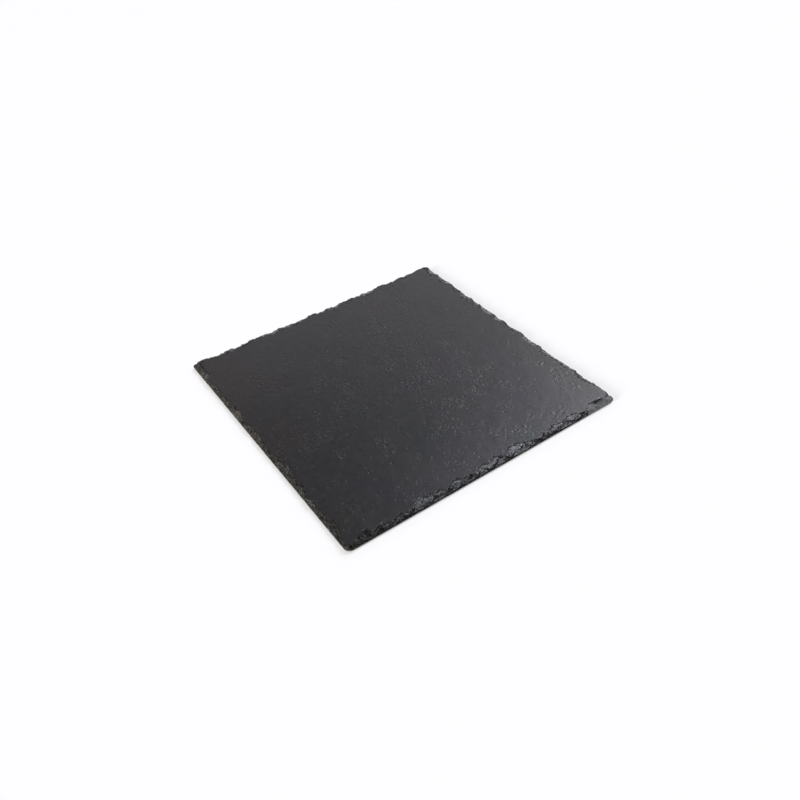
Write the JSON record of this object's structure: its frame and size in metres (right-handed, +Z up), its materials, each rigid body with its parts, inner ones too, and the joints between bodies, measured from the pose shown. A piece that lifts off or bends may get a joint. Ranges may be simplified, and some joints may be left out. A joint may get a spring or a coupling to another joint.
{
  "type": "slate serving board",
  "caption": "Square slate serving board with a flaked, dressed edge all round, raised on low rubber feet held by adhesive discs.",
  "frame": {"origin": "on the table under the middle of the board, level with the undersides of the feet", "axes": "+Z up through the serving face, +X along the front edge to the right, +Y to the back edge"},
  "size_m": [0.3, 0.3, 0.0065],
  "materials": {
    "slate": "riven, satin",
    "foot_rubber": "matt",
    "adhesive": "matt film"
  },
  "bodies": {
    "root": {"slate_slab": "slate", "foot_front_left": "foot_rubber", "foot_front_right": "foot_rubber", "foot_back_left": "foot_rubber", "foot_back_right": "foot_rubber", "adhesive_front_left": "adhesive", "adhesive_front_right": "adhesive", "adhesive_back_left": "adhesive", "adhesive_back_right": "adhesive"}
  },
  "joints": []
}
